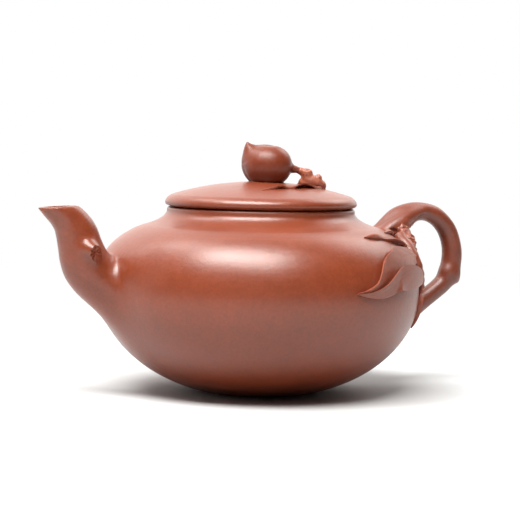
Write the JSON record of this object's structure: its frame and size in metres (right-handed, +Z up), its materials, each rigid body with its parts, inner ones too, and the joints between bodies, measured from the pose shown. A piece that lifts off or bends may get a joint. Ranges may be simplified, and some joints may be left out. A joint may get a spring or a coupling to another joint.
{
  "type": "clay teapot",
  "caption": "Squat round unglazed clay teapot with a lift-off lid, a peach knob on a stalk, a branch handle, a branch spout and raised leaves on its belly.",
  "frame": {"origin": "centre of the foot, on the surface the pot stands on", "axes": "+Z up through the pot's axis, +X towards the handle, -X towards the spout"},
  "size_m": [0.168, 0.115, 0.0899],
  "materials": {
    "red_clay": "satin, unglazed, very fine grain",
    "leaf_clay": "satin, unglazed, very fine grain"
  },
  "bodies": {
    "pot": {"belly_wall": "red_clay", "base_disc": "red_clay", "shoulder_disc": "red_clay", "neck_ring": "red_clay", "mouth_ring": "red_clay", "ball_strainer": "red_clay", "spout": "red_clay", "spout_knot": "red_clay", "handle_branch": "red_clay", "handle_fork": "red_clay", "large_burl": "red_clay", "small_burl": "red_clay", "handle_stub": "red_clay", "leaf_twig": "leaf_clay", "broad_leaf": "leaf_clay", "curled_leaf": "leaf_clay", "narrow_leaf": "leaf_clay", "upper_leaf": "leaf_clay", "hanging_leaf": "leaf_clay"},
    "flange": {"lid_flange": "red_clay"},
    "lid": {"lid_plate": "red_clay", "peach_knob": "red_clay", "peach_stem": "red_clay", "lid_twig": "red_clay", "tall_stub": "red_clay", "short_stub": "red_clay", "lid_leaf": "leaf_clay"}
  },
  "joints": [
    {"name": "lid_lift", "type": "slide", "parent": "pot", "child": "flange", "axis": [0, 0, 1], "range_m": [0, 0.06]},
    {"name": "lid_turn", "type": "hinge", "parent": "flange", "child": "lid", "pos_m": [0, 0, 0.066], "axis": [0, 0, 1], "continuous": true}
  ]
}
